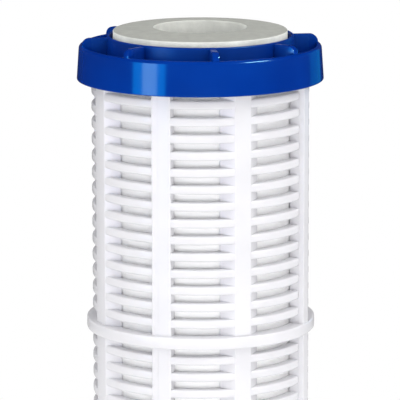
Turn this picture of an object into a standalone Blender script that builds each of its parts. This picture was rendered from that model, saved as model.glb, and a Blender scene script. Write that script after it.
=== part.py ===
"""Washable net filter cartridge for a 10-inch water filter housing, open at both ends.

It stands upright on its lower gasket: +Z up, origin at the centre of the lower sealing face, in metres.
Heights in a cap or a gasket are depths below that end's sealing face, because both ends are alike.
"""
import math

import bmesh
import bpy
from mathutils import Matrix

# Driving dimensions of the whole cartridge, in metres
LENGTH = 0.2492
FIT_GAP = 0.0003

# Cage: ribs, slats and rings
CAGE_RADIUS = 0.0326
CAGE_WALL = 0.0030
RING_RADIUS = 0.03425
RING_HEIGHT = 0.0035
END_BAND_HEIGHT = 0.0027
SLAT_PITCH = 0.0050
SLAT_HEIGHT = 0.0025
SLATS_BETWEEN_RINGS = 13
SLATS_ABOVE_RING = 14
RIB_PITCH = math.radians(45)
RIB_CREST = 0.0049
BROAD_RIB_EXTRA = 0.0010
MIDDLE_RIB_CREST = 0.0041
MIDDLE_RIB_REACH = 0.0339
SEAM_RIB_NARROW = 0.0020
SEAM_RIB_WIDE = 0.0039
DRAW_ANGLE = math.radians(-22.5)

# Net sleeve and support core inside the cage
NET_THICKNESS = 0.0006
CORE_WALL = 0.0018
CORE_RIBS = 8
CORE_RIB_WIDTH = 0.0042
CORE_RING_HEIGHT = 0.0040
CORE_WINDOWS = 5

# End cap, as radii and as depths below the sealing face
CAP_SKIRT_RADIUS = 0.0368
CAP_RIM_RADIUS = 0.0361
CAP_SKIRT_WALL = 0.0014
CAP_SKIRT_END = 0.0155
CAP_RIM_TOP = 0.0052
CAP_TROUGH = 0.0084
CAP_FLOOR = 0.0014
COLLAR_RADIUS = 0.0279
COLLAR_WALL = 0.0009
COLLAR_TOP = 0.0024
RECESS_DEPTH = 0.0063
CAP_BORE_RADIUS = 0.0142
GUSSETS = 8
GUSSET_THICKNESS = 0.0020
GUSSET_TOP = 0.0028
GUSSET_SHOULDER = 0.0332
GUSSET_PHASE = math.radians(7.5)

# Gasket, seal bead
GASKET_RADIUS = 0.0260
GASKET_BORE_RADIUS = 0.0139
GASKET_LAND_RADIUS = 0.0190
GASKET_CROWN = 0.0009
GASKET_EDGE = 0.0005
BEAD_THICKNESS = 0.0012
BEAD_INNER_RADIUS = 0.0257
BEAD_OUTER_RADIUS = 0.0342

# Facets round each turned piece
CAGE_FACETS = 16
CAP_FACETS = 36
GASKET_FACETS = 36

# Distances that follow from the ones above
CAP_UNDERSIDE = CAP_TROUGH + CAP_FLOOR
BEAD_TOP = CAP_UNDERSIDE + FIT_GAP
CAGE_END = BEAD_TOP + BEAD_THICKNESS + FIT_GAP
CAGE_BORE_RADIUS = CAGE_RADIUS - CAGE_WALL
NET_RADIUS = CAGE_BORE_RADIUS - FIT_GAP
CORE_RADIUS = NET_RADIUS - NET_THICKNESS - FIT_GAP
SLAT_GAP = SLAT_PITCH - SLAT_HEIGHT
RING_OFFSET = (SLATS_BETWEEN_RINGS * SLAT_PITCH + SLAT_GAP + RING_HEIGHT) / 2
FAR = 0.004
WINDOW_CLEARANCE = 0.0012

MIDDLE = LENGTH / 2


def clear_scene():
    for thing in list(bpy.data.objects):
        bpy.data.objects.remove(thing, do_unlink=True)


def new_collection(name):
    collection = bpy.data.collections.new(name)
    bpy.context.scene.collection.children.link(collection)
    return collection


def plastic(name, colour, roughness, coat=0.0):
    material = bpy.data.materials.new(name)
    material.use_nodes = True
    shader = material.node_tree.nodes["Principled BSDF"]
    shader.inputs["Base Color"].default_value = (*colour, 1)
    shader.inputs["Roughness"].default_value = roughness
    shader.inputs["Metallic"].default_value = 0.0
    shader.inputs["Coat Weight"].default_value = coat
    material.diffuse_color = (*colour, 1)
    return material


def add_object(name, mesh, collection, material=None):
    thing = bpy.data.objects.new(name, mesh)
    collection.objects.link(thing)
    if material:
        mesh.materials.append(material)
    return thing


def helper(name, mesh, collection):
    """A cutter or a joined shape: never rendered, shown as wire."""
    thing = add_object(name, mesh, collection)
    thing.hide_render = True
    thing.display_type = "WIRE"
    return thing


def turned(name, profile, facets):
    """Mesh of a closed (radius, height) profile turned about Z with a Screw modifier.

    The profile runs down its outer side, so the faces point out.
    """
    outline = bmesh.new()
    points = [outline.verts.new((radius, 0, height)) for radius, height in profile]
    for first, second in zip(points, points[1:] + points[:1]):
        outline.edges.new((first, second))
    mesh = bpy.data.meshes.new(name + "_profile")
    outline.to_mesh(mesh)
    outline.free()
    guide = bpy.data.objects.new(name + "_guide", mesh)
    bpy.context.scene.collection.objects.link(guide)
    screw = guide.modifiers.new("Turn", "SCREW")
    screw.steps = facets
    screw.render_steps = facets
    screw.use_merge_vertices = True
    screw.merge_threshold = 0.00001
    graph = bpy.context.evaluated_depsgraph_get()
    solid = bpy.data.meshes.new_from_object(guide.evaluated_get(graph))
    bpy.data.objects.remove(guide, do_unlink=True)
    solid.name = name
    solid.shade_smooth()
    solid.set_sharp_from_angle(angle=math.radians(35))
    return solid


def boxes(name, limits):
    """One mesh of separate boxes, each given as ((x0, x1), (y0, y1), (z0, z1))."""
    shape = bmesh.new()
    for spans in limits:
        corners = bmesh.ops.create_cube(shape, size=1)["verts"]
        for corner in corners:
            for axis, (low, high) in enumerate(spans):
                corner.co[axis] = (low + high) / 2 + corner.co[axis] * (high - low)
    mesh = bpy.data.meshes.new(name)
    shape.to_mesh(mesh)
    shape.free()
    return mesh


def boolean(thing, operation, other):
    step = thing.modifiers.new(other.name, "BOOLEAN")
    step.operation = operation
    step.object = other
    step.solver = "EXACT"


def cap_profile():
    """Section of a cap: skirt, trough, collar, gasket recess and bore."""
    skirt_inner = CAP_SKIRT_RADIUS - CAP_SKIRT_WALL
    rim_inner = CAP_RIM_RADIUS - CAP_SKIRT_WALL
    step_radius = COLLAR_RADIUS - 0.0016
    rounding = 0.0006
    return [
        (CAP_RIM_RADIUS - rounding, -CAP_RIM_TOP),
        (CAP_RIM_RADIUS, -CAP_RIM_TOP - rounding),
        (CAP_SKIRT_RADIUS, -CAP_SKIRT_END),
        (skirt_inner, -CAP_SKIRT_END),
        (rim_inner, -CAP_UNDERSIDE),
        (step_radius, -CAP_UNDERSIDE),
        (step_radius, -RECESS_DEPTH - CAP_FLOOR),
        (CAP_BORE_RADIUS, -RECESS_DEPTH - CAP_FLOOR),
        (CAP_BORE_RADIUS, -RECESS_DEPTH),
        (COLLAR_RADIUS - COLLAR_WALL, -RECESS_DEPTH),
        (COLLAR_RADIUS - COLLAR_WALL, -COLLAR_TOP),
        (COLLAR_RADIUS, -COLLAR_TOP),
        (COLLAR_RADIUS, -CAP_TROUGH),
        (rim_inner, -CAP_TROUGH),
        (rim_inner, -CAP_RIM_TOP),
    ]


def gusset_blade(name, angle):
    """One radial web from the collar to the rim, with a sloping shoulder."""
    inner = COLLAR_RADIUS - COLLAR_WALL / 2
    outer = CAP_RIM_RADIUS - CAP_SKIRT_WALL / 2
    bottom = CAP_TROUGH + CAP_FLOOR / 2
    outline = [
        (inner, -bottom),
        (outer, -bottom),
        (outer, -CAP_RIM_TOP - 0.0002),
        (GUSSET_SHOULDER, -GUSSET_TOP),
        (inner, -GUSSET_TOP),
    ]
    shape = bmesh.new()
    for side in (-1, 1):
        for radius, height in outline:
            shape.verts.new((radius, side * GUSSET_THICKNESS / 2, height))
    shape.verts.ensure_lookup_table()
    count = len(outline)
    shape.faces.new([shape.verts[i] for i in range(count)])
    shape.faces.new([shape.verts[i] for i in reversed(range(count, 2 * count))])
    for i in range(count):
        j = (i + 1) % count
        shape.faces.new([shape.verts[k] for k in (j, i, i + count, j + count)])
    bmesh.ops.recalc_face_normals(shape, faces=shape.faces)
    bmesh.ops.rotate(shape, verts=shape.verts, matrix=rotation(angle))
    mesh = bpy.data.meshes.new(name)
    shape.to_mesh(mesh)
    shape.free()
    return mesh


def rotation(angle):
    return Matrix.Rotation(angle, 3, "Z")


def make_cap(name, parts, cutters, material):
    cap = add_object(name, turned(name, cap_profile(), CAP_FACETS), parts, material)
    for number in range(GUSSETS):
        angle = GUSSET_PHASE - math.pi / 2 + number * math.tau / GUSSETS
        blade = helper(f"{name}_gusset_{number}", gusset_blade(f"{name}_gusset_{number}", angle), cutters)
        blade.parent = cap
        boolean(cap, "UNION", blade)
    return cap


def make_gasket(name, parts, material):
    edge = GASKET_RADIUS
    profile = [
        (GASKET_LAND_RADIUS, 0),
        (edge - GASKET_EDGE, -GASKET_CROWN),
        (edge, -GASKET_CROWN - GASKET_EDGE),
        (edge, -RECESS_DEPTH + FIT_GAP),
        (GASKET_BORE_RADIUS, -RECESS_DEPTH + FIT_GAP),
        (GASKET_BORE_RADIUS, 0),
    ]
    return add_object(name, turned(name, profile, GASKET_FACETS), parts, material)


def make_bead(name, parts, material):
    profile = [
        (BEAD_OUTER_RADIUS, -BEAD_TOP),
        (BEAD_OUTER_RADIUS, -BEAD_TOP - BEAD_THICKNESS),
        (BEAD_INNER_RADIUS, -BEAD_TOP - BEAD_THICKNESS),
        (BEAD_INNER_RADIUS, -BEAD_TOP),
    ]
    return add_object(name, turned(name, profile, CAGE_FACETS), parts, material)


def cage_profile():
    """Section of the cage tube with its two rings and two end bands."""
    top = LENGTH - CAGE_END
    steps = [(top, top - END_BAND_HEIGHT)]
    for centre in (MIDDLE + RING_OFFSET, MIDDLE - RING_OFFSET):
        steps.append((centre + RING_HEIGHT / 2, centre - RING_HEIGHT / 2))
    steps.append((CAGE_END + END_BAND_HEIGHT, CAGE_END))
    profile = []
    for high, low in steps:
        profile += [(CAGE_RADIUS, high), (RING_RADIUS, high), (RING_RADIUS, low), (CAGE_RADIUS, low)]
    profile = profile[1:-1]
    return profile + [(CAGE_BORE_RADIUS, CAGE_END), (CAGE_BORE_RADIUS, top)]


def gap_heights():
    """Centre height of each open row between two slats, a slat and a ring, or a slat and an end band."""
    first = MIDDLE - RING_OFFSET + RING_HEIGHT / 2 + SLAT_GAP / 2
    rows = [first + row * SLAT_PITCH for row in range(SLATS_BETWEEN_RINGS + 1)]
    start = MIDDLE + RING_OFFSET + RING_HEIGHT / 2 + SLAT_GAP / 2
    for row in range(SLATS_ABOVE_RING + 1):
        height = start + row * SLAT_PITCH
        rows += [height, LENGTH - height]
    return sorted(rows)


def window_spans():
    """(across, along) limits of the four windows of a half shell.

    Across is square to the way the half shell's mould tool draws, along is that way. Every window
    wall lies along or square to the draw, so the ribs off the middle have one deep and one shallow side.
    The seam rib is narrow on one edge of a half shell and wide on the other, and the rib next to the
    narrow edge is broader than the rib next to the wide one. The halves are alike.
    The middle rib stands proud of the slats, nearly flush with the rings.
    """
    half_crest = RIB_CREST / 2 / CAGE_RADIUS
    deep_wall = CAGE_RADIUS * math.sin(RIB_PITCH + half_crest)
    shelf = CAGE_RADIUS * math.cos(RIB_PITCH - half_crest)
    reach = CAGE_RADIUS + WINDOW_CLEARANCE
    middle = (MIDDLE_RIB_CREST / 2, deep_wall - WINDOW_CLEARANCE)
    broad_wall = deep_wall + BROAD_RIB_EXTRA
    return [
        ((-middle[1], -middle[0]), (shelf, reach)),
        (middle, (shelf, reach)),
        ((-reach, -broad_wall), (SEAM_RIB_NARROW, shelf - WINDOW_CLEARANCE)),
        ((deep_wall, reach), (SEAM_RIB_WIDE, shelf - WINDOW_CLEARANCE)),
    ]


def make_half_shell(name, draw_angle, parts, cutters, material):
    """Half of the cage, on the side of the parting plane that draw_angle points to."""
    turn = draw_angle - math.pi / 2
    tube = turned(name, cage_profile(), CAGE_FACETS)
    tube.transform(rotation(DRAW_ANGLE - math.pi / 2 - turn).to_4x4())
    shell = add_object(name, tube, parts, material)
    shell.rotation_euler.z = turn
    spans = [(across, along, (height - SLAT_GAP / 2, height + SLAT_GAP / 2))
             for height in gap_heights() for across, along in window_spans()]
    windows = helper(name + "_windows", boxes(name + "_windows", spans), cutters)
    windows.parent = shell
    reach = RING_RADIUS + FAR
    other_half = [((-reach, reach), (-reach, FIT_GAP / 2), (-FAR, LENGTH + FAR))]
    parting = helper(name + "_parting", boxes(name + "_parting", other_half), cutters)
    parting.parent = shell
    rail_limits = [((-MIDDLE_RIB_CREST / 2, MIDDLE_RIB_CREST / 2),
                    ((CAGE_BORE_RADIUS + CAGE_RADIUS) / 2, MIDDLE_RIB_REACH),
                    (CAGE_END, LENGTH - CAGE_END))]
    rail = helper(name + "_middle_rib", boxes(name + "_middle_rib", rail_limits), cutters)
    rail.parent = shell
    boolean(shell, "DIFFERENCE", parting)
    boolean(shell, "DIFFERENCE", windows)
    boolean(shell, "UNION", rail)
    return shell


def make_net(parts, material):
    top = LENGTH - CAGE_END
    inner = NET_RADIUS - NET_THICKNESS
    profile = [(NET_RADIUS, top), (NET_RADIUS, CAGE_END), (inner, CAGE_END), (inner, top)]
    mesh = turned("net_sleeve", profile, CAGE_FACETS)
    mesh.transform(rotation(DRAW_ANGLE - math.pi / 2).to_4x4())
    return add_object("net_sleeve", mesh, parts, material)


def make_core(parts, cutters, material):
    """Open support tube: round hoops joined by upright ribs that line up with the cage's ribs."""
    top = LENGTH - CAGE_END
    inner = CORE_RADIUS - CORE_WALL
    profile = [(CORE_RADIUS, top), (CORE_RADIUS, CAGE_END), (inner, CAGE_END), (inner, top)]
    mesh = turned("support_core", profile, CAGE_FACETS)
    mesh.transform(rotation(DRAW_ANGLE - math.pi / 2).to_4x4())
    core = add_object("support_core", mesh, parts, material)
    pitch = (top - CAGE_END - CORE_RING_HEIGHT) / CORE_WINDOWS
    half_width = CORE_RADIUS * math.sin(math.pi / CORE_RIBS) - CORE_RIB_WIDTH / 2
    spans = []
    for row in range(CORE_WINDOWS):
        low = CAGE_END + CORE_RING_HEIGHT + row * pitch
        heights = (low, low + pitch - CORE_RING_HEIGHT)
        spans.append(((inner - FAR, CORE_RADIUS + FAR), (-half_width, half_width), heights))
    windows = boxes("support_core_windows", spans)
    for column in range(CORE_RIBS):
        cutter = helper(f"support_core_windows_{column}", windows, cutters)
        cutter.rotation_euler.z = DRAW_ANGLE - math.pi / 2 + (column + 0.5) * math.tau / CORE_RIBS
        boolean(core, "DIFFERENCE", cutter)
    return core


def place_ends(make, name, *arguments):
    """The same piece at the top, and turned over at the bottom."""
    upper = make(name + "_top", *arguments)
    upper.location.z = LENGTH
    lower = make(name + "_bottom", *arguments)
    lower.rotation_euler.x = math.pi


def build():
    clear_scene()
    parts = new_collection("net_filter_cartridge")
    cutters = new_collection("cutters")
    blue = plastic("blue_plastic", (0.012, 0.13, 0.62), 0.22, 0.3)
    foam = plastic("grey_foam", (0.42, 0.44, 0.40), 0.92)
    white = plastic("white_plastic", (0.86, 0.87, 0.87), 0.25, 0.2)
    core_white = plastic("core_plastic", (0.80, 0.81, 0.81), 0.35)
    net = plastic("polyester_net", (0.62, 0.64, 0.66), 0.70)
    bead = plastic("seal_bead", (0.78, 0.76, 0.68), 0.40)
    place_ends(make_cap, "end_cap", parts, cutters, blue)
    place_ends(make_gasket, "gasket", parts, foam)
    place_ends(make_bead, "seal_bead", parts, bead)
    make_half_shell("cage_half_right", DRAW_ANGLE, parts, cutters, white)
    make_half_shell("cage_half_left", DRAW_ANGLE + math.pi, parts, cutters, white)
    make_net(parts, net)
    make_core(parts, cutters, core_white)


build()
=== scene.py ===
"""Looks of the washable net filter cartridge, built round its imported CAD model.

Every shown piece is a fine mesh that stands for one CAD node, in metres and in the CAD's own frame:
+Z up, origin at the centre of the lower sealing face. Depths are measured from the nearer sealing face.
"""
import math

import bmesh
import bpy
from mathutils import Matrix, Vector


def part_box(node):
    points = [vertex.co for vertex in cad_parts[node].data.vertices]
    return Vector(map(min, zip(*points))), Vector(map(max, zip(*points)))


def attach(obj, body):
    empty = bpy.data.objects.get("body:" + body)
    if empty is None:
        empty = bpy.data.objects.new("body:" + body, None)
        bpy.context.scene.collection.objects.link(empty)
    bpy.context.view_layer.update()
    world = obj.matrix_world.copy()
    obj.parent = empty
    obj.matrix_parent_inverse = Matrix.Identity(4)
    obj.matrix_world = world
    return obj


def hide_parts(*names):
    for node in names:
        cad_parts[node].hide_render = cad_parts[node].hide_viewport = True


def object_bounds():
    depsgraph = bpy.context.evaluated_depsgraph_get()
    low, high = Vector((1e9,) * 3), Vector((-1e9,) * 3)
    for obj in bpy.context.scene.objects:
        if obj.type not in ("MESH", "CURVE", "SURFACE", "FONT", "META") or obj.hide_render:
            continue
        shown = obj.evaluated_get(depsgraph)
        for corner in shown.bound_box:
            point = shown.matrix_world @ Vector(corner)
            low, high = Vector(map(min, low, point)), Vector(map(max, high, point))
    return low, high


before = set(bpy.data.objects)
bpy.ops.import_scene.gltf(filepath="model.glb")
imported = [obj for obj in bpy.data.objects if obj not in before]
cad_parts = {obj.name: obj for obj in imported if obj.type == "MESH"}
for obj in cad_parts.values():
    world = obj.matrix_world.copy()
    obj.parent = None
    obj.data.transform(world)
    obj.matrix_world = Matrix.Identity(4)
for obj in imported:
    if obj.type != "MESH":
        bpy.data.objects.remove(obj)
CAD_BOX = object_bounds()
LENGTH = CAD_BOX[1].z

# Facets round a turned piece
ROUND = 144
FINE_ROUND = 192

# Angles in degrees above which an edge stays sharp, or gets a bevel
SHARP_ANGLE = 35
CAGE_SHARP_ANGLE = 30
BEVEL_ANGLE = 35
RIB_BEVEL_ANGLE = 25

# Roundings of edges, from fine to broad
FINE_EDGE = 0.0002
SOFT_EDGE = 0.0003
BLUNT_EDGE = 0.0004
BROAD_EDGE = 0.0005
RIM_EDGE = 0.00105

# How far a cutter runs past what it cuts
OVERRUN = 0.004
FAR_OVERRUN = 0.01

# Cage, as in the CAD model
CAGE_RADIUS = 0.0326
CAGE_BORE = 0.0296
RING_RADIUS = 0.03425
RING_HEIGHT = 0.0035
BAND_HEIGHT = 0.0027
SLAT_PITCH = 0.0050
SLAT_HEIGHT = 0.0025
SLATS_BETWEEN_RINGS = 13
SLATS_ABOVE_RING = 14
SLAT_SETBACK = 0.00012
SLAT_ROUNDING = 0.00062
RIB_PITCH = math.radians(45)
RIB_CREST = 0.0049
BROAD_RIB_EXTRA = 0.0010
MIDDLE_RIB_CREST = 0.0041
MIDDLE_RIB_REACH = 0.0339
SEAM_RIB_NARROW = 0.0020
SEAM_RIB_WIDE = 0.0039
RIB_ROUNDING = 0.00025
RIB_END_INSET = 0.0002
RAIL_DEPTH = 0.0015
SPARE_DEPTH = 0.002
WINDOW_CLEARANCE = 0.0012
HAIRLINE = 0.00001
DRAW_ANGLE = math.radians(-22.5)
CAGE_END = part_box("cage_half_right")[0].z
MIDDLE = LENGTH / 2
SLAT_GAP = SLAT_PITCH - SLAT_HEIGHT
RING_OFFSET = (SLATS_BETWEEN_RINGS * SLAT_PITCH + SLAT_GAP + RING_HEIGHT) / 2

# Net and core
NET_RADIUS = 0.0293
NET_THICKNESS = 0.0004
CORE_RADIUS = 0.0284
CORE_WALL = 0.0018
CORE_RIBS = 8
CORE_RIB_WIDTH = 0.0042
CORE_RING_HEIGHT = 0.0040
CORE_WINDOWS = 5

# Cap and gasket, as radii and as depths below the sealing face
SKIRT_RADIUS = 0.0368
RIM_RADIUS = 0.0361
SKIRT_WALL = 0.0014
SKIRT_END = 0.0155
RIM_TOP = 0.0052
TROUGH = 0.0084
CAP_FLOOR = 0.0014
COLLAR_RADIUS = 0.0279
COLLAR_WALL = 0.0009
COLLAR_STEP = 0.0016
COLLAR_TOP = 0.0024
RECESS = 0.0063
CAP_BORE = 0.0142
GUSSETS = 8
GUSSET_THICKNESS = 0.0020
GUSSET_TOP = 0.0028
GUSSET_SHOULDER = 0.0024
GUSSET_PHASE = math.radians(7.5)
GASKET_RADIUS = 0.0260
GASKET_BORE = 0.0139
GASKET_LAND = 0.0165
GASKET_CROWN = 0.0009
CROWN_CURVE = 1.6
CROWN_STEPS = 10
CROWN_EDGE = 0.0006
GASKET_GAP = 0.0003
BEAD_TOP = 0.0101
BEAD_THICKNESS = 0.0012
BEAD_RADII = (0.0257, 0.0342)

# Looks: where the cap turns from dull to glossy, the net's threads, and where painted shade turns the net
# greyer towards the caps
DULL_RADIUS = 0.032
GLOSSY_RADIUS = 0.0345
THREAD_PITCH = 0.00045
UNSHADED_REACH = 0.02
FULL_SHADE_REACH = 0.11

# Floor: size, drop to just under the lower gasket's limit, and the reach and strength of its glow
# in reflections
FLOOR_SIZE = 30
FLOOR_DROP = 0.0125
POOL = (0.3, 0.9, 1.2, 0.0)

# World: each glow runs over a span of the sky's height, from one strength to another
HORIZON = (0.1, 0.5, 1.85, 0.0)
OVERHEAD = (0.4, 0.9, 0.0, 1.2)

# Panels: name, azimuth in degrees, height, distance, size, watts, what they light, and colour
PANELS = (
    ("left_card", -48, 0.25, 0.9, (0.52, 0.5), 5.8, "gloss", (0.01, 0.40, 1.0)),
    ("left_strip", -47, 0.25, 0.88, (0.215, 0.5), 2.0, "gloss", (1.0, 0.48, 0.4)),
    ("right_card", 61, 0.79, 0.75, (0.36, 0.12), 9.5, "gloss", (1.0, 0.95, 0.9)),
    ("rear_card", 137, 0.3, 0.9, (0.45, 0.5), 0.5, "gloss", (0.0, 0.45, 1.0)),
    ("right_key", 60, 1.1, 1.0, (0.8, 0.8), 7.5, "shade", (1, 1, 1)),
    ("left_fill", -60, 1.1, 1.0, (0.8, 0.8), 5.0, "shade", (1, 1, 1)),
    ("low_front", 0, 0.07, 0.5, (0.4, 0.2), 1.3, "shade", (1, 1, 1)),
)
AIM = (0, 0, 0.2)

# Camera, as fitted to the photo: offset from the centre of the upper sealing face, and angles in degrees
CAMERA_OFFSET = (0.0002, -1.0169, 0.1447)
CAMERA_TILT = -10.978
CAMERA_ROLL = 0.1
CAMERA_LENS = 310.7


# Mesh building

def rounded(corners, steps=4):
    """Outline through (x, z, fillet) corners, with an arc in place of each corner that has a fillet."""
    outline = []
    for index, (x, z, fillet) in enumerate(corners):
        corner = Vector((x, z))
        if not fillet:
            outline.append(corner)
            continue
        back = (Vector(corners[index - 1][:2]) - corner).normalized()
        ahead = (Vector(corners[(index + 1) % len(corners)][:2]) - corner).normalized()
        half = back.angle(ahead) / 2
        centre = corner + (back + ahead).normalized() * fillet / math.sin(half)
        start = corner + back * fillet / math.tan(half) - centre
        turn = (math.pi - 2 * half) * math.copysign(1, back.cross(ahead))
        for step in range(steps + 1):
            outline.append(centre + Matrix.Rotation(-turn * step / steps, 2) @ start)
    return outline


def new_object(name, shape):
    mesh = bpy.data.meshes.new(name)
    bmesh.ops.recalc_face_normals(shape, faces=shape.faces)
    shape.to_mesh(mesh)
    shape.free()
    thing = bpy.data.objects.new(name, mesh)
    bpy.context.scene.collection.objects.link(thing)
    smooth(thing)
    return thing


def smooth(thing, angle=SHARP_ANGLE):
    thing.data.shade_smooth()
    thing.data.set_sharp_from_angle(angle=math.radians(angle))


def add_turned(shape, outline, segments, phase=0.0):
    """Adds a closed (radius, height) outline turned about Z."""
    rows = []
    for index in range(segments):
        angle = phase + index * math.tau / segments
        across = Vector((math.cos(angle), math.sin(angle), 0))
        rows.append([shape.verts.new(across * x + Vector((0, 0, z))) for x, z in outline])
    count = len(outline)
    for index in range(segments):
        here = rows[index]
        there = rows[(index + 1) % segments]
        for i in range(count):
            j = (i + 1) % count
            shape.faces.new((here[i], there[i], there[j], here[j]))


def turned(name, outline, segments=ROUND, phase=0.0):
    shape = bmesh.new()
    add_turned(shape, outline, segments, phase)
    return new_object(name, shape)


def add_box(shape, spans):
    corners = bmesh.ops.create_cube(shape, size=1)["verts"]
    for corner in corners:
        for axis, (low, high) in enumerate(spans):
            corner.co[axis] = (low + high) / 2 + corner.co[axis] * (high - low)


def boxes(name, limits):
    shape = bmesh.new()
    for spans in limits:
        add_box(shape, spans)
    return new_object(name, shape)


def extruded(name, outline, thickness):
    """An outline in the XZ plane, thickened both ways along Y."""
    shape = bmesh.new()
    sides = []
    for side in (-1, 1):
        sides.append([shape.verts.new((x, side * thickness / 2, z)) for x, z in outline])
    shape.faces.new(sides[0])
    shape.faces.new(reversed(sides[1]))
    count = len(outline)
    for i in range(count):
        j = (i + 1) % count
        shape.faces.new((sides[0][j], sides[0][i], sides[1][i], sides[1][j]))
    return new_object(name, shape)


def apply_modifiers(thing):
    graph = bpy.context.evaluated_depsgraph_get()
    mesh = bpy.data.meshes.new_from_object(thing.evaluated_get(graph))
    old = thing.data
    thing.modifiers.clear()
    thing.data = mesh
    bpy.data.meshes.remove(old)


def combine(thing, operation, other):
    """Boolean of thing with other, applied, and other removed."""
    step = thing.modifiers.new("Combine", "BOOLEAN")
    step.operation = operation
    step.object = other
    step.solver = "MANIFOLD"
    apply_modifiers(thing)
    bpy.data.objects.remove(other, do_unlink=True)


def bevel(thing, width, angle=BEVEL_ANGLE):
    step = thing.modifiers.new("Bevel", "BEVEL")
    step.width = width
    step.segments = 2
    step.limit_method = "ANGLE"
    step.angle_limit = math.radians(angle)
    apply_modifiers(thing)


def move_mesh(thing, matrix):
    thing.data.transform(matrix)


# Materials

def material(name, colour, roughness):
    made = bpy.data.materials.new(name)
    made.use_nodes = True
    shader = made.node_tree.nodes["Principled BSDF"]
    shader.inputs["Base Color"].default_value = (*colour, 1)
    shader.inputs["Roughness"].default_value = roughness
    return made, made.node_tree, shader


def node(tree, kind, **values):
    made = tree.nodes.new(kind)
    for key, value in values.items():
        setattr(made, key, value)
    return made


def noise(tree, scale, detail=3.0, roughness=0.5):
    """Noise in the object's own coordinates, so that it stays put on the piece."""
    place = node(tree, "ShaderNodeTexCoord")
    made = node(tree, "ShaderNodeTexNoise")
    made.inputs["Scale"].default_value = scale
    made.inputs["Detail"].default_value = detail
    made.inputs["Roughness"].default_value = roughness
    tree.links.new(place.outputs["Object"], made.inputs["Vector"])
    return made.outputs["Fac"]


def ramp(tree, value, low, high):
    """Colour between two colours as value goes over its middle range."""
    made = node(tree, "ShaderNodeValToRGB")
    made.color_ramp.elements[0].position = 0.3
    made.color_ramp.elements[0].color = (*low, 1)
    made.color_ramp.elements[1].position = 0.7
    made.color_ramp.elements[1].color = (*high, 1)
    tree.links.new(value, made.inputs["Fac"])
    return made.outputs["Color"]


def remap(tree, value, start, end, low=0.0, high=1.0):
    """A value that goes from low to high as the given one goes from start to end, and stays within them."""
    made = node(tree, "ShaderNodeMapRange")
    limits = {"From Min": start, "From Max": end, "To Min": low, "To Max": high}
    for socket, limit in limits.items():
        made.inputs[socket].default_value = limit
    tree.links.new(value, made.inputs["Value"])
    return made.outputs["Result"]


def spread(tree, value, low, high):
    return remap(tree, value, 0.0, 1.0, low, high)


def axes_of(tree, kind):
    """X, Y and Z of a kind of texture coordinate."""
    place = node(tree, "ShaderNodeTexCoord")
    axes = node(tree, "ShaderNodeSeparateXYZ")
    tree.links.new(place.outputs[kind], axes.inputs["Vector"])
    return axes.outputs


def colour_by(tree, shader, colour):
    tree.links.new(colour, shader.inputs["Base Color"])


def set_inputs(shader, values):
    for name, value in values.items():
        shader.inputs[name].default_value = value


def bump(tree, shader, height, distance, strength=1.0):
    made = node(tree, "ShaderNodeBump")
    made.inputs["Distance"].default_value = distance
    made.inputs["Strength"].default_value = strength
    tree.links.new(height, made.inputs["Height"])
    tree.links.new(made.outputs["Normal"], shader.inputs["Normal"])


def blend(tree, amount, first, second):
    made = node(tree, "ShaderNodeMix", data_type="RGBA")
    tree.links.new(amount, made.inputs[0])
    tree.links.new(first, made.inputs[6])
    tree.links.new(second, made.inputs[7])
    return made.outputs[2]


def maths(tree, operation, first, second=None):
    made = node(tree, "ShaderNodeMath", operation=operation)
    for socket, value in zip(made.inputs, (first, second)):
        if isinstance(value, (int, float)):
            socket.default_value = value
        elif value is not None:
            tree.links.new(value, socket)
    return made.outputs["Value"]


def blue_plastic():
    """Pigmented polypropylene with faint flow marks, glossy on the skirt and duller in the trough."""
    made, tree, shader = material("cap_blue_plastic", (0.0005, 0.0275, 0.245), 0.12)
    set_inputs(shader, {"Specular Tint": (0.3, 0.9, 1.0, 1)})
    flow = noise(tree, 60, 2.0)
    colour_by(tree, shader, ramp(tree, flow, (0.0005, 0.023, 0.215), (0.0005, 0.030, 0.255)))
    axes = axes_of(tree, "Object")
    squares = [maths(tree, "POWER", axes[axis], 2) for axis in ("X", "Y")]
    gloss = remap(tree, maths(tree, "ADD", *squares), DULL_RADIUS ** 2, GLOSSY_RADIUS ** 2)
    tree.links.new(spread(tree, gloss, 0.2, 0.5), shader.inputs["Specular IOR Level"])
    polish = spread(tree, noise(tree, 900, 4.0), 0.08, 0.16)
    roughness = maths(tree, "ADD", polish, spread(tree, gloss, 0.2, 0.0))
    tree.links.new(roughness, shader.inputs["Roughness"])
    bump(tree, shader, flow, 0.00004)
    return made


def white_plastic():
    """Glossy natural polypropylene: slightly milky, so light gets a little way in."""
    made, tree, shader = material("cage_white_plastic", (0.655, 0.65, 0.675), 0.2)
    set_inputs(shader, {
        "Specular IOR Level": 0.15,
        "Subsurface Weight": 0.25,
        "Subsurface Radius": (1.0, 0.95, 0.9),
        "Subsurface Scale": 0.0012,
    })
    flow = noise(tree, 90, 2.0)
    colour_by(tree, shader, ramp(tree, flow, (0.64, 0.635, 0.66), (0.67, 0.665, 0.69)))
    tree.links.new(spread(tree, noise(tree, 700, 4.0), 0.14, 0.28), shader.inputs["Roughness"])
    bump(tree, shader, flow, 0.00003)
    return made


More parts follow.
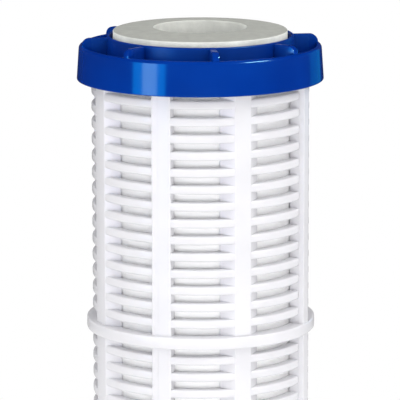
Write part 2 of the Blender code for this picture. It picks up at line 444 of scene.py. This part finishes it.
def grey_foam():
    """Closed-cell foam punched out of a sheet, matt grey. Its flat faces are painted darker and its upright
    faces paler: painted light that falls more on the sides than on the top.
    """
    made, tree, shader = material("gasket_grey_foam", (0.34, 0.345, 0.315), 0.85)
    set_inputs(shader, {"Specular IOR Level": 0.25})
    # Painted light: one foam grey, in a darker copy for faces that look up or down and a paler copy for
    # upright faces.
    shaded_flat_tone = ramp(tree, noise(tree, 350, 5.0, 0.6), (0.31, 0.315, 0.29), (0.365, 0.37, 0.34))
    lit_upright_tone = ramp(tree, noise(tree, 160, 6.0, 0.65), (0.60, 0.61, 0.57), (0.79, 0.80, 0.75))
    upright = maths(tree, "ABSOLUTE", axes_of(tree, "Normal")["Z"])
    colour_by(tree, shader, blend(tree, remap(tree, upright, 0.5, 0.8), lit_upright_tone, shaded_flat_tone))
    place = node(tree, "ShaderNodeTexCoord")
    cells = node(tree, "ShaderNodeTexVoronoi")
    cells.inputs["Scale"].default_value = 5200
    tree.links.new(place.outputs["Object"], cells.inputs["Vector"])
    bump(tree, shader, cells.outputs["Distance"], 0.00006, 0.6)
    return made


def woven_net():
    """Fine plain-weave polyester, its threads laid on the slant round the sleeve, painted greyer towards
    the caps as painted shade.
    """
    made, tree, shader = material("filter_net_weave", (0.93, 0.93, 0.945), 0.6)
    set_inputs(shader, {
        "Specular IOR Level": 0.1,
        "Subsurface Weight": 0.5,
        "Subsurface Radius": (1.0, 1.0, 1.0),
        "Subsurface Scale": 0.0006,
    })
    axes = axes_of(tree, "Object")
    angle = maths(tree, "ARCTAN2", axes["Y"], axes["X"])
    round_way = maths(tree, "MULTIPLY", angle, NET_RADIUS * math.tau / THREAD_PITCH)
    up_way = maths(tree, "MULTIPLY", axes["Z"], math.tau / THREAD_PITCH)
    warp = maths(tree, "SINE", maths(tree, "ADD", round_way, up_way))
    weft = maths(tree, "SINE", maths(tree, "SUBTRACT", round_way, up_way))
    weave = maths(tree, "MAXIMUM", maths(tree, "ABSOLUTE", warp), maths(tree, "ABSOLUTE", weft))
    from_middle = maths(tree, "ABSOLUTE", maths(tree, "SUBTRACT", axes["Z"], MIDDLE))
    # Painted shade: the net is painted greyer from near the middle out to the caps, in place of the shade
    # under the caps.
    unshaded_middle_tone = ramp(tree, weave, (0.98, 0.982, 0.99), (1.0, 1.0, 1.0))
    cap_shaded_tone = ramp(tree, weave, (0.85, 0.85, 0.875), (0.93, 0.93, 0.945))
    ends = remap(tree, from_middle, UNSHADED_REACH, FULL_SHADE_REACH)
    colour_by(tree, shader, blend(tree, ends, unshaded_middle_tone, cap_shaded_tone))
    bump(tree, shader, weave, 0.00008, 0.8)
    return made


def core_plastic():
    made, tree, shader = material("core_white_plastic", (0.80, 0.81, 0.81), 0.35)
    flow = noise(tree, 120, 2.0)
    colour_by(tree, shader, ramp(tree, flow, (0.77, 0.78, 0.78), (0.83, 0.84, 0.84)))
    bump(tree, shader, flow, 0.00004)
    return made


def bead_sealant():
    made, tree, shader = material("seal_bead_sealant", (0.78, 0.76, 0.68), 0.4)
    ripple = noise(tree, 260, 3.0)
    colour_by(tree, shader, ramp(tree, ripple, (0.73, 0.71, 0.62), (0.81, 0.79, 0.71)))
    bump(tree, shader, ripple, 0.0002)
    return made


# Pieces

def from_end(thing, upper):
    """Puts a piece modelled with its sealing face at height 0 at the top, or turned over at the bottom."""
    if upper:
        move_mesh(thing, Matrix.Translation((0, 0, LENGTH)))
    else:
        move_mesh(thing, Matrix.Rotation(math.pi, 4, "X"))


def cap_outline():
    skirt_inner = SKIRT_RADIUS - SKIRT_WALL
    rim_inner = RIM_RADIUS - SKIRT_WALL
    under = TROUGH + CAP_FLOOR
    recess_under = RECESS + CAP_FLOOR
    step = COLLAR_RADIUS - COLLAR_STEP
    collar_inner = COLLAR_RADIUS - COLLAR_WALL
    return rounded([
        (RIM_RADIUS, -RIM_TOP, RIM_EDGE),
        (SKIRT_RADIUS, -SKIRT_END, SOFT_EDGE),
        (skirt_inner, -SKIRT_END, FINE_EDGE),
        (rim_inner, -under, BLUNT_EDGE),
        (step, -under, SOFT_EDGE),
        (step, -recess_under, BLUNT_EDGE),
        (CAP_BORE, -recess_under, SOFT_EDGE),
        (CAP_BORE, -RECESS, SOFT_EDGE),
        (collar_inner, -RECESS, SOFT_EDGE),
        (collar_inner, -COLLAR_TOP, SOFT_EDGE),
        (COLLAR_RADIUS, -COLLAR_TOP, BLUNT_EDGE),
        (COLLAR_RADIUS, -TROUGH, BROAD_EDGE),
        (rim_inner, -TROUGH, BROAD_EDGE),
        (rim_inner, -RIM_TOP, SOFT_EDGE),
    ], steps=5)


def gusset(angle):
    """A radial web with a rounded shoulder that runs down into the rim."""
    inner = COLLAR_RADIUS - COLLAR_WALL / 2
    outer = RIM_RADIUS - SKIRT_WALL / 2
    foot = TROUGH + CAP_FLOOR / 2
    outline = rounded([
        (inner, -foot, 0),
        (outer, -foot, 0),
        (outer, -GUSSET_TOP, GUSSET_SHOULDER),
        (inner, -GUSSET_TOP, 0),
    ], steps=8)
    web = extruded("gusset", outline, GUSSET_THICKNESS)
    bevel(web, SOFT_EDGE)
    move_mesh(web, Matrix.Rotation(angle, 4, "Z"))
    return web


def make_cap(side, upper, finish):
    cap = turned(f"cap_{side}_shell", cap_outline(), FINE_ROUND)
    for number in range(GUSSETS):
        angle = GUSSET_PHASE - math.pi / 2 + number * math.tau / GUSSETS
        combine(cap, "UNION", gusset(angle))
    smooth(cap)
    from_end(cap, upper)
    finish_piece(cap, finish, "cartridge", f"end_cap_{side}")


def make_gasket(side, upper, body, finish):
    """A foam ring, flat round the bore and falling away in a soft crown to its outer edge."""
    crown = []
    for step in range(CROWN_STEPS):
        share = step / CROWN_STEPS
        radius = GASKET_LAND + (GASKET_RADIUS - CROWN_EDGE - GASKET_LAND) * share
        crown.append((radius, -GASKET_CROWN * share ** CROWN_CURVE, 0))
    outline = rounded([
        (GASKET_BORE, 0, BLUNT_EDGE),
        *crown,
        (GASKET_RADIUS, -GASKET_CROWN, BROAD_EDGE),
        (GASKET_RADIUS, GASKET_GAP - RECESS, SOFT_EDGE),
        (GASKET_BORE, GASKET_GAP - RECESS, SOFT_EDGE),
    ])
    gasket = turned(f"foam_gasket_{side}", outline)
    from_end(gasket, upper)
    finish_piece(gasket, finish, body, f"gasket_{side}")


def make_bead(side, upper, finish):
    inner, outer = BEAD_RADII
    outline = rounded([
        (outer, -BEAD_TOP, SOFT_EDGE),
        (outer, -BEAD_TOP - BEAD_THICKNESS, SOFT_EDGE),
        (inner, -BEAD_TOP - BEAD_THICKNESS, BROAD_EDGE),
        (inner, -BEAD_TOP, BROAD_EDGE),
    ])
    bead = turned(f"sealant_bead_{side}", outline)
    from_end(bead, upper)
    finish_piece(bead, finish, "cartridge", f"seal_bead_{side}")


def gap_heights():
    """Centre height of each open row of the cage."""
    first = MIDDLE - RING_OFFSET + RING_HEIGHT / 2 + SLAT_GAP / 2
    rows = [first + row * SLAT_PITCH for row in range(SLATS_BETWEEN_RINGS + 1)]
    start = MIDDLE + RING_OFFSET + RING_HEIGHT / 2 + SLAT_GAP / 2
    for row in range(SLATS_ABOVE_RING + 1):
        height = start + row * SLAT_PITCH
        rows += [height, LENGTH - height]
    return sorted(rows)


def hoop_outline(low, high, radius, rounding):
    """Section of a slat, ring or band: square against the net, rounded outside."""
    return rounded([
        (radius, high, rounding),
        (radius, low, rounding),
        (CAGE_BORE, low, 0),
        (CAGE_BORE, high, 0),
    ], steps=3)


def cage_hoops():
    """All slats, rings and end bands of the cage as whole hoops in one mesh."""
    shape = bmesh.new()
    gaps = gap_heights()
    for below, above in zip(gaps, gaps[1:]):
        low = below + SLAT_GAP / 2
        high = above - SLAT_GAP / 2
        if high - low > SLAT_HEIGHT + SLAT_SETBACK:
            outline = hoop_outline(low, high, RING_RADIUS, BROAD_EDGE)
        else:
            outline = hoop_outline(low, high, CAGE_RADIUS - SLAT_SETBACK, SLAT_ROUNDING)
        add_turned(shape, outline, FINE_ROUND, DRAW_ANGLE)
    for low in (CAGE_END, LENGTH - CAGE_END - BAND_HEIGHT):
        outline = hoop_outline(low, low + BAND_HEIGHT, RING_RADIUS, BLUNT_EDGE)
        add_turned(shape, outline, FINE_ROUND, DRAW_ANGLE)
    return new_object("cage_hoops", shape)


def window_spans():
    """(across, along) limits of a half shell's four windows; along is the way its mould tool draws."""
    half_crest = RIB_CREST / 2 / CAGE_RADIUS
    deep_wall = CAGE_RADIUS * math.sin(RIB_PITCH + half_crest)
    shelf = CAGE_RADIUS * math.cos(RIB_PITCH - half_crest)
    reach = CAGE_RADIUS + WINDOW_CLEARANCE
    inner_end = shelf - WINDOW_CLEARANCE
    near = MIDDLE_RIB_CREST / 2
    far = deep_wall - WINDOW_CLEARANCE
    broad_wall = deep_wall + BROAD_RIB_EXTRA
    return [
        ((-far, -near), (shelf, reach)),
        ((near, far), (shelf, reach)),
        ((-reach, -broad_wall), (SEAM_RIB_NARROW, inner_end)),
        ((deep_wall, reach), (SEAM_RIB_WIDE, inner_end)),
    ]


def sleeve_outline(outer, inner, low, high):
    return [(outer, high), (outer, low), (inner, low), (inner, high)]


def cage_ribs():
    """The ribs of both half shells, with the tube's closed ends, before the slats join them.

    The wall starts deeper than the bore, so that the bevel doesn't touch the bore's own edges.
    """
    gaps = gap_heights()
    window_height = (gaps[0] - SLAT_GAP / 2, gaps[-1] + SLAT_GAP / 2)
    ends = (CAGE_END + RIB_END_INSET, LENGTH - CAGE_END - RIB_END_INSET)
    wall = sleeve_outline(CAGE_RADIUS, CAGE_BORE - SPARE_DEPTH, *ends)
    ribs = turned("cage_ribs", wall, FINE_ROUND, DRAW_ANGLE)
    half_width = MIDDLE_RIB_CREST / 2
    rail_span = ((-half_width, half_width), (CAGE_BORE + RAIL_DEPTH, MIDDLE_RIB_REACH), ends)
    for draw in (DRAW_ANGLE, DRAW_ANGLE + math.pi):
        turn = Matrix.Rotation(draw - math.pi / 2, 4, "Z")
        cutter = boxes("windows", [(*span, window_height) for span in window_spans()])
        move_mesh(cutter, turn)
        combine(ribs, "DIFFERENCE", cutter)
        rail = boxes("middle_rib", [rail_span])
        move_mesh(rail, turn)
        combine(ribs, "UNION", rail)
    bevel(ribs, RIB_ROUNDING, RIB_BEVEL_ANGLE)
    spare = sleeve_outline(CAGE_BORE - HAIRLINE, CAGE_BORE - OVERRUN, 0, LENGTH)
    combine(ribs, "DIFFERENCE", turned("spare_bore", spare, FINE_ROUND, DRAW_ANGLE))
    return ribs


def make_cage(finish):
    """Both half shells of the cage, split along the plane through two opposite ribs."""
    whole = cage_ribs()
    combine(whole, "UNION", cage_hoops())
    reach = RING_RADIUS + FAR_OVERRUN
    other_side = ((-reach, reach), (-reach, HAIRLINE / 2), (-reach, LENGTH + reach))
    for side, draw in (("right", DRAW_ANGLE), ("left", DRAW_ANGLE + math.pi)):
        half = bpy.data.objects.new(f"slatted_cage_{side}", whole.data.copy())
        bpy.context.scene.collection.objects.link(half)
        cutter = boxes("parting", [other_side])
        move_mesh(cutter, Matrix.Rotation(draw - math.pi / 2, 4, "Z"))
        combine(half, "DIFFERENCE", cutter)
        smooth(half, CAGE_SHARP_ANGLE)
        finish_piece(half, finish, "cartridge", f"cage_half_{side}")
    bpy.data.objects.remove(whole, do_unlink=True)


def make_net(finish):
    low = CAGE_END
    high = LENGTH - CAGE_END
    outline = sleeve_outline(NET_RADIUS, NET_RADIUS - NET_THICKNESS, low, high)
    net = turned("woven_net_sleeve", outline, FINE_ROUND)
    finish_piece(net, finish, "cartridge", "net_sleeve")
    return net


def make_core(finish):
    """Open support tube: hoops joined by upright ribs."""
    low = CAGE_END
    high = LENGTH - CAGE_END
    inner = CORE_RADIUS - CORE_WALL
    core = turned("open_support_core", sleeve_outline(CORE_RADIUS, inner, low, high), ROUND, DRAW_ANGLE)
    pitch = (high - low - CORE_RING_HEIGHT) / CORE_WINDOWS
    half_width = CORE_RADIUS * math.sin(math.pi / CORE_RIBS) - CORE_RIB_WIDTH / 2
    through = (inner - OVERRUN, CORE_RADIUS + OVERRUN)
    for column in range(CORE_RIBS):
        spans = []
        for row in range(CORE_WINDOWS):
            start = low + CORE_RING_HEIGHT + row * pitch
            height = (start, start + pitch - CORE_RING_HEIGHT)
            spans.append((through, (-half_width, half_width), height))
        cutter = boxes("core_windows", spans)
        angle = DRAW_ANGLE - math.pi / 2 + (column + 0.5) * math.tau / CORE_RIBS
        move_mesh(cutter, Matrix.Rotation(angle, 4, "Z"))
        combine(core, "DIFFERENCE", cutter)
    bevel(core, SOFT_EDGE)
    smooth(core)
    finish_piece(core, finish, "cartridge", "support_core")


def finish_piece(thing, finish, body, cad_node):
    thing.data.materials.clear()
    thing.data.materials.append(finish)
    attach(thing, body)
    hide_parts(cad_node)


# Studio

def by_ray(tree, camera, gloss, other):
    """A value for what the camera sees straight on, one for reflections and one for all other light."""
    ray = node(tree, "ShaderNodeLightPath")
    seen = maths(tree, "MULTIPLY", ray.outputs["Is Camera Ray"], camera - other)
    mirrored = maths(tree, "MULTIPLY", ray.outputs["Is Glossy Ray"], gloss - other)
    return maths(tree, "ADD", maths(tree, "ADD", seen, mirrored), other)


def make_floor():
    """A pale floor that the camera looks through, so that the part can be seen from below.

    It bounces a soft light up. In reflections it is dark, but for a pool of light round the part.
    Its values for the camera only count if the floor is made visible.
    """
    bpy.ops.mesh.primitive_plane_add(size=FLOOR_SIZE, location=(0, 0, -FLOOR_DROP))
    floor = bpy.context.object
    floor.name = "floor"
    made, tree, shader = material("pale_floor", (0.90, 0.90, 0.90), 0.7)
    set_inputs(shader, {"Specular IOR Level": 0.0, "Emission Color": (1, 1, 1, 1)})
    colour_by(tree, shader, by_ray(tree, 0.9, 0.02, 0.35))
    place = node(tree, "ShaderNodeTexCoord")
    away = node(tree, "ShaderNodeVectorMath", operation="LENGTH")
    tree.links.new(place.outputs["Object"], away.inputs[0])
    pool = remap(tree, away.outputs["Value"], *POOL)
    mirrored = maths(tree, "MULTIPLY", pool, by_ray(tree, 0.0, 1.0, 0.0))
    glow = maths(tree, "ADD", mirrored, by_ray(tree, 0.5, 0.0, 0.29))
    tree.links.new(glow, shader.inputs["Emission Strength"])
    floor.visible_camera = False
    floor.data.materials.append(made)


def make_world():
    """A pale horizon under an overhead softbox, both dim in reflections, and plain white to the camera."""
    world = bpy.data.worlds.new("studio")
    bpy.context.scene.world = world
    world.use_nodes = True
    tree = world.node_tree
    height = axes_of(tree, "Generated")["Z"]
    glow = maths(tree, "ADD", remap(tree, height, *HORIZON), remap(tree, height, *OVERHEAD))
    lit = maths(tree, "MULTIPLY", glow, by_ray(tree, 0.0, 0.02, 1.0))
    background = tree.nodes["Background"]
    background.inputs["Color"].default_value = (1, 1, 1, 1)
    tree.links.new(maths(tree, "ADD", lit, by_ray(tree, 1.0, 0.0, 0.0)), background.inputs["Strength"])


def area_light(name, azimuth, height, distance, size, power, lights, colour):
    """A soft panel that faces the part. Azimuth 0 is the camera's side, and positive is to its right."""
    light = bpy.data.lights.new(name, "AREA")
    light.shape = "RECTANGLE"
    light.size, light.size_y = size
    light.energy = power
    light.color = colour
    lamp = bpy.data.objects.new(name, light)
    bpy.context.scene.collection.objects.link(lamp)
    angle = math.radians(azimuth)
    lamp.location = (distance * math.sin(angle), -distance * math.cos(angle), height)
    lamp.rotation_euler = (Vector(AIM) - lamp.location).to_track_quat("-Z", "Y").to_euler()
    lamp.visible_camera = False
    lamp.visible_diffuse = lights != "gloss"
    lamp.visible_glossy = lights != "shade"


def make_camera():
    camera = bpy.data.cameras.new("camera")
    camera.sensor_width = 36
    camera.lens = CAMERA_LENS
    camera.clip_start = 0.05
    camera.clip_end = 50
    view = bpy.data.objects.new("camera", camera)
    bpy.context.scene.collection.objects.link(view)
    view.location = Vector((0, 0, LENGTH)) + Vector(CAMERA_OFFSET)
    view.rotation_euler = (math.radians(90 + CAMERA_TILT), math.radians(CAMERA_ROLL), 0)
    bpy.context.scene.camera = view
    bpy.context.scene.view_settings.view_transform = "Standard"


def main():
    blue = blue_plastic()
    foam = grey_foam()
    sealant = bead_sealant()
    for side, upper, body in (("top", True, "upper_gasket"), ("bottom", False, "lower_gasket")):
        make_cap(side, upper, blue)
        make_gasket(side, upper, body, foam)
        make_bead(side, upper, sealant)
    make_cage(white_plastic())
    net = make_net(woven_net())
    make_core(core_plastic())
    make_floor()
    make_world()
    for panel in PANELS:
        area_light(*panel)
    make_camera()


main()
